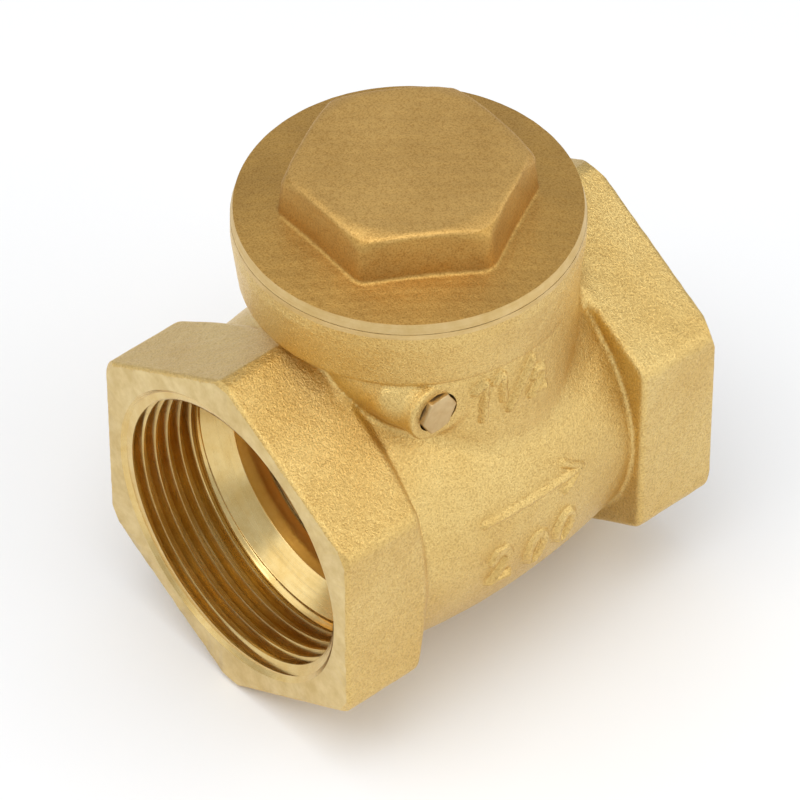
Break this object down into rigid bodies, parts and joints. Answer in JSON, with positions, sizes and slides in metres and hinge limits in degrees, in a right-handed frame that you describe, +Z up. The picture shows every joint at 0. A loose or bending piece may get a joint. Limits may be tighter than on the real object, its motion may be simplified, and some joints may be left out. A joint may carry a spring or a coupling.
{
  "type": "swing check valve",
  "caption": "Cast brass swing check valve with hexagonal female threaded ends, a round neck with a hexagon-headed screwed cap, and a hinged disc inside.",
  "frame": {"origin": "middle of the underside: below the pipe's mid-length, on the line where the hexagons' lowest corners would stand", "axes": "+X along the pipe in the direction of flow, from inlet to outlet; +Z up through the neck and cap; the hinge plug is on the -Y side"},
  "size_m": [0.0724, 0.0568, 0.0851],
  "materials": {
    "cast_brass": "shot-blasted casting, fine sandy grain, satin",
    "cap_brass": "shot-blasted casting with a turned chamfer round the rim",
    "plug_brass": "dull brass bar, end ground flat",
    "arm_brass": "satin casting",
    "turned_brass": "turned, semi-bright",
    "steel": "stainless, semi-bright",
    "rubber": "moulded nitrile, matt",
    "fibre": "pressed flat gasket sheet, matt"
  },
  "bodies": {
    "body": {"valve_body": "cast_brass", "hinge_pin": "steel", "hinge_plug": "plug_brass"},
    "gasket": {"cap_gasket": "fibre"},
    "cap": {"cap": "cap_brass"},
    "arm": {"swing_arm": "arm_brass"},
    "disc": {"disc": "turned_brass", "disc_seal": "rubber", "seal_retainer": "turned_brass", "retainer_screw": "steel", "stud_washer": "steel", "stud_nut": "turned_brass", "cotter_pin": "steel"}
  },
  "joints": [
    {"name": "arm_swing", "type": "hinge", "parent": "body", "child": "arm", "pos_m": [-0.0136, 0, 0.05829], "axis": [0, -1, 0], "range_deg": [0, 55]},
    {"name": "disc_turn", "type": "hinge", "parent": "arm", "child": "disc", "pos_m": [-0.008, 0, 0.03129], "axis": [1, 0, 0], "continuous": true},
    {"name": "cap_lift", "type": "slide", "parent": "body", "child": "gasket", "axis": [0, 0, 1], "range_m": [0, 0.00525]},
    {"name": "cap_turn", "type": "hinge", "parent": "gasket", "child": "cap", "pos_m": [-0.0005, 0, 0.07489], "axis": [0, 0, 1], "range_deg": [0, 1260]}
  ],
  "couplings": [
    {"joint": "cap_lift", "follows": "cap_turn", "m_per_rad": 0.00023873}
  ]
}
